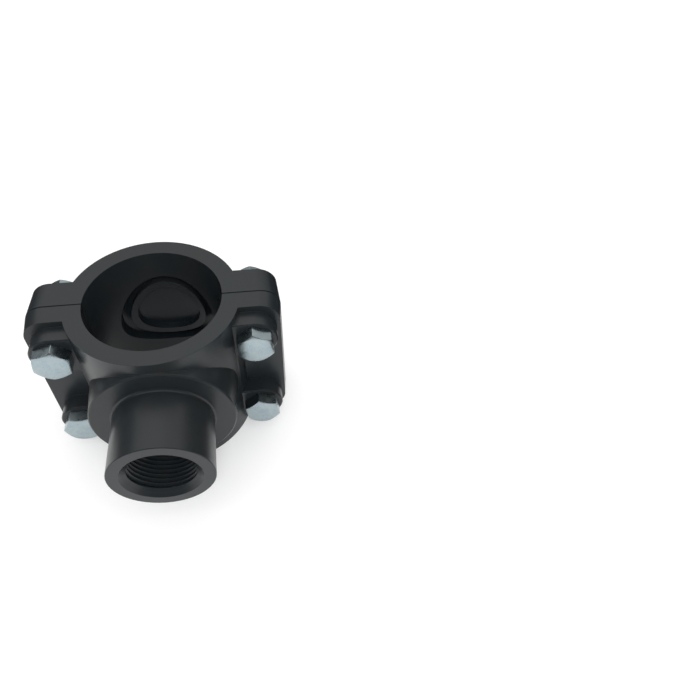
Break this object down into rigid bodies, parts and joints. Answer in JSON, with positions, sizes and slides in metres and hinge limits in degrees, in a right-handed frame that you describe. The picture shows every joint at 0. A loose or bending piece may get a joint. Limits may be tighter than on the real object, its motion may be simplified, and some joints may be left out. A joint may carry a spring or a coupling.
{
  "type": "tapping saddle",
  "caption": "Black plastic clamp saddle: a half shell with a threaded branch outlet and a plain half shell, bolted round a pipe, with a rubber ring round the port.",
  "frame": {"origin": "centre of the pipe bore, half way along the saddle", "axes": "+Z along the pipe, -Y out of the threaded outlet, +X across the bolted ears"},
  "size_m": [0.117, 0.1108, 0.078],
  "materials": {
    "black_pp": "satin moulded polypropylene",
    "seal_rubber": "matt moulded rubber",
    "zinc_steel": "bright zinc plating with a pale blue cast"
  },
  "bodies": {
    "root": {"outlet_half": "black_pp", "plain_half": "black_pp", "outlet_seal": "seal_rubber", "bolt_upper_left": "zinc_steel", "bolt_upper_right": "zinc_steel", "bolt_lower_left": "zinc_steel", "bolt_lower_right": "zinc_steel", "nut_upper_left": "zinc_steel", "nut_upper_right": "zinc_steel", "nut_lower_left": "zinc_steel", "nut_lower_right": "zinc_steel"}
  },
  "joints": []
}
